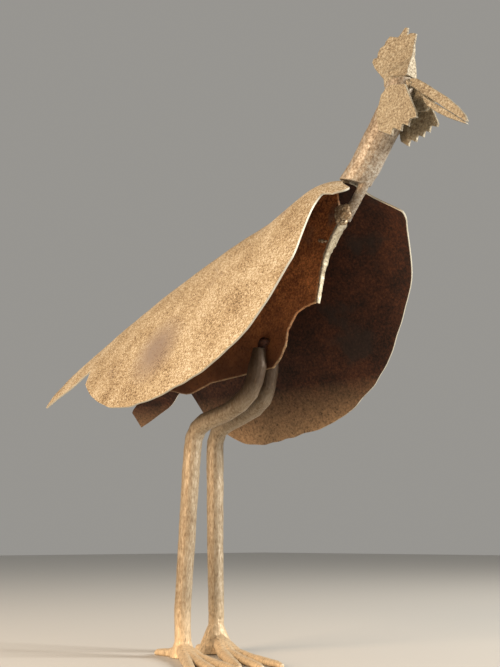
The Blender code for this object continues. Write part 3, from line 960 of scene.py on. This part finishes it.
@dataclass
class Body:
    """Plate under the back and rod down its front, with the welds that hold them."""

    rod_pits: tuple[Point, ...] = ((0.1775, -0.004, 0.3765), (0.1647, -0.004, 0.3445))
    weld_path: tuple[Point, ...] = (
        (0.1850, -0.0030, 0.3965), (0.1940, -0.0040, 0.3950), (0.1850, -0.0045, 0.3915),
        (0.1955, -0.0045, 0.3890), (0.1850, -0.0040, 0.3870), (0.1905, -0.0045, 0.3835),
    )
    drop_path: tuple[Point, ...] = ((0.1595, -0.0018, 0.3738), (0.1665, -0.0018, 0.3713))
    hip_path: tuple[Point, ...] = ((0.0850, -0.0060, 0.2780), (0.0890, -0.0050, 0.2860), (0.0910, -0.0045, 0.2900))
    crack_start: Point = (0.1862, -0.0080, 0.3830)
    crack_ends: tuple[Point, ...] = ((0.1878, -0.0080, 0.3774), (0.1975, -0.0075, 0.3838))
    crack_steps: int = 8

    def crack(self) -> list[Pit]:
        """Pits laid close together, so that they make two cracks from one point.

        Returns:
            The pits.
        """
        return [
            (Vector(self.crack_start).lerp(Vector(end), step / self.crack_steps) + ORIGIN, 0.0015, 0.0022)
            for end in self.crack_ends
            for step in range(self.crack_steps + 1)
        ]

    def build(self) -> list[bpy.types.Object]:
        """Build the plate, the rod and their welds.

        Returns:
            The finished pieces.
        """
        rod_pits = [(Vector(place) + ORIGIN, 0.0016, 0.0009) for place in self.rod_pits]
        rod_pits += scattered((0.160, -0.006, 0.325), (0.190, -0.002, 0.385), 40, 0.0013, 11)
        weld_pits = self.crack() + scattered((0.176, -0.010, 0.378), (0.198, -0.005, 0.403), 60, 0.0016, 12)
        return [
            Forging(("body_plate",), "scaled_plate", PLATE_WITH_PAINTED_SHADE, Slot.PLATE, grid=0.0011).build(),
            FlattenedBar(
                ("breast_rod",), "breast_rod_forged", GROUND_ROD_WITH_PAINTED_LIGHT, Slot.BAR, grid=0.0005, rounding=4,
                dent_size=0.006, dent_depth=0.0018, scale_size=0.0022, scale_depth=0.0005, pits=rod_pits,
            ).build(),
            WeldRun("breast_weld", self.weld_path, 0.0043, 48, seed=3, rounding=7, pits=weld_pits).build(),
            WeldRun("plate_drop", self.drop_path, 0.0017, 3, seed=5).build(),
            # The hip weld takes the inner sheet's brown rust, deepened with painted shade
            WeldRun("hip_weld", self.hip_path, 0.0048, 5, seed=8, finish=SHEET_INSIDE_PAINTED_SHADE_AND_LIGHT, grid=0.0009).build(),
        ]


@dataclass
class Neck:
    """Round bar of the neck with its tang."""

    pit_count: int = 45
    pit_radius: float = 0.0014

    def build(self) -> list[bpy.types.Object]:
        """Build the neck.

        Returns:
            The finished bar, in a list.
        """
        pits = scattered((0.205, -0.016, 0.405), (0.245, -0.008, 0.470), self.pit_count, self.pit_radius, 21)
        bar = Forging(
            ("neck",), "neck_bar", BAR_FINISH, Slot.BAR, grid=0.0008, rounding=4, dent_size=0.010,
            dent_depth=0.0007, pits=pits,
        )
        return [bar.build()]


@dataclass
class Head:
    """Comb, wattles and beak."""

    grid: float = 0.0005
    comb_pits: tuple[Point, ...] = (
        (0.2481, -0.0025, 0.5073), (0.2535, -0.0025, 0.5062), (0.2510, -0.0025, 0.4995),
        (0.2465, -0.0025, 0.4964), (0.2431, -0.0025, 0.4929),
    )
    cheek: Web = field(default_factory=lambda: Web((
        (0.2480, 0.5000), (0.2645, 0.4944), (0.2770, 0.4835), (0.2850, 0.4715), (0.2740, 0.4650), (0.2560, 0.4700),
    ), side=0.0085, thickness=0.0035))
    crown_path: tuple[Point, ...] = (
        (0.2475, -0.0075, 0.4968), (0.2535, -0.0075, 0.4972), (0.2600, -0.0045, 0.4960),
    )
    beak_root_path: tuple[Point, ...] = ((0.2560, -0.0015, 0.4975), (0.2660, -0.0015, 0.4895))

    def build(self) -> list[bpy.types.Object]:
        """Build the pieces of the head.

        Returns:
            The finished pieces.
        """
        pits = [(Vector(place) + ORIGIN, 0.0015, 0.0010) for place in self.comb_pits]
        pits += scattered((0.238, -0.0045, 0.492), (0.268, -0.0015, 0.530), 30, 0.0011, 31)
        crown_pits = scattered((0.240, -0.014, 0.490), (0.264, -0.006, 0.502), 60, 0.0014, 24)
        return [
            Forging(
                ("comb", "upper_beak", "right_wattle", "left_wattle"), "comb_flaps_and_upper_strip", HEAD_FINISH,
                Slot.HEAD, self.grid, rounding=2, dent_size=0.008, dent_depth=0.0005, scale_size=0.002,
                scale_depth=0.00035, pits=pits, web=self.cheek,
            ).build(),
            WeldRun(
                "crown_weld", self.crown_path, 0.0036, 16, seed=23, slot=Slot.HEAD, finish=HEAD_FINISH,
                rounding=8, pits=crown_pits,
            ).build(),
            WeldRun(
                "beak_root", self.beak_root_path, 0.0042, 8, seed=17, slot=Slot.HEAD, finish=HEAD_FINISH,
                rounding=5,
            ).build(),
            Forging(
                ("lower_beak",), "lower_strip", HEAD_FINISH, Slot.HEAD, self.grid, rounding=2, dent_size=0.008,
                dent_depth=0.0004,
            ).build(),
        ]


@dataclass
class Legs:
    """Two bar legs on forged feet. The left ankle is thick with pitted weld."""

    grid: float = 0.0008
    ankle_pit_count: int = 420
    ankle_pit_radius: float = 0.0024

    def build(self) -> list[bpy.types.Object]:
        """Build each leg with its foot.

        Returns:
            The finished legs.
        """
        ankle_pits = {
            "right": [],
            "left": scattered(
                (-0.024, 0.004, 0.004), (0.016, 0.022, 0.042), self.ankle_pit_count, self.ankle_pit_radius, 41,
            ),
        }
        return [
            Forging(
                (f"{side}_leg", f"{side}_foot"), f"{side}_leg_and_toes", LEG_WITH_PAINTED_LIGHT_AND_SHADE, Slot.BAR, self.grid,
                rounding=6, dent_size=0.014, dent_depth=0.0008, scale_size=0.003, pits=pits,
            ).build()
            for side, pits in ankle_pits.items()
        ]


# Studio


@dataclass(frozen=True)
class Lamp:
    """Square lamp, large enough to throw soft shadows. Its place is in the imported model's frame."""

    name: str
    place: Point
    power: float
    colour: str
    side: float = 0.90

    def build(self, aim: Vector) -> None:
        """Hang the lamp.

        Args:
            aim: Point that it faces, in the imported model's frame.
        """
        data = bpy.data.lights.new(self.name, "AREA")
        data.size = self.side
        data.energy = self.power
        data.color = linear(self.colour)[:3]
        lamp = bpy.data.objects.new(self.name, data)
        lamp.location = self.place
        lamp.rotation_euler = (aim - lamp.location).to_track_quat("-Z", "Y").to_euler()
        bpy.context.scene.collection.objects.link(lamp)


@dataclass
class Studio:
    """Pale floor, pale sky, soft lamps and the camera.

    camera_place and hen_middle are in the hen's own frame.
    """

    lens: float = 50.0
    film_height: float = 36.0
    camera_place: Point = (0.69697, -0.60968, 0.10532)
    azimuth: float = radians(46.0)
    rise: float = radians(12.65)
    hen_middle: Point = (0.08, 0, 0.28)
    lamps: tuple[Lamp, ...] = (
        Lamp("warm_key", (-0.10, -1.60, 0.60), 36.0, "ffe0bc"),
        Lamp("white_rim", (2.00, 1.40, 1.10), 92.0, "fffaf0"),
    )
    sky: str = "cfccc6"
    sky_strength: float = 0.50
    floor: str = "cfcdc9"
    floor_side: float = 12.0
    floor_gap: float = 0.0005

    def add_camera(self) -> None:
        """Set the camera up at the photograph's angle."""
        data = bpy.data.cameras.new("camera")
        data.lens = self.lens
        data.sensor_fit = "VERTICAL"
        data.sensor_height = self.film_height
        camera = bpy.data.objects.new("camera", data)
        camera.location = Vector(self.camera_place) + ORIGIN
        look = Vector((
            -sin(self.azimuth) * cos(self.rise), cos(self.azimuth) * cos(self.rise), sin(self.rise),
        ))
        camera.rotation_euler = look.to_track_quat("-Z", "Y").to_euler()
        bpy.context.scene.collection.objects.link(camera)
        bpy.context.scene.camera = camera

    def add_floor(self) -> None:
        """Lay a pale matte floor, a hair under the feet."""
        deselect_all()
        bpy.ops.mesh.primitive_plane_add(size=self.floor_side, location=(0, 0, -self.floor_gap))
        floor = bpy.context.object
        floor.name = "studio_floor"
        material = bpy.data.materials.new("pale_matte_floor")
        material.use_nodes = True
        shader = material.node_tree.nodes["Principled BSDF"]
        shader.inputs["Base Color"].default_value = linear(self.floor)
        shader.inputs["Roughness"].default_value = 0.9
        floor.data.materials.append(material)

    def build(self) -> None:
        """Add floor, lamps, camera and sky."""
        self.add_floor()
        for lamp in self.lamps:
            lamp.build(ORIGIN + Vector(self.hen_middle))
        self.add_camera()
        world = bpy.data.worlds.new("studio")
        world.use_nodes = True
        background = world.node_tree.nodes["Background"]
        background.inputs["Color"].default_value = linear(self.sky)
        background.inputs["Strength"].default_value = self.sky_strength
        bpy.context.scene.world = world
        bpy.context.scene.view_settings.view_transform = "Standard"


def main() -> None:
    """Build the hen and its studio."""
    logging.basicConfig(level=logging.INFO, format="%(message)s")
    for assembly in (SaddleSheet(), Body(), Neck(), Head(), Legs()):
        for piece in assembly.build():
            log.info("%s: %d faces", piece.name, len(piece.data.polygons))
    Studio().build()


if __name__ == "__main__":
    main()
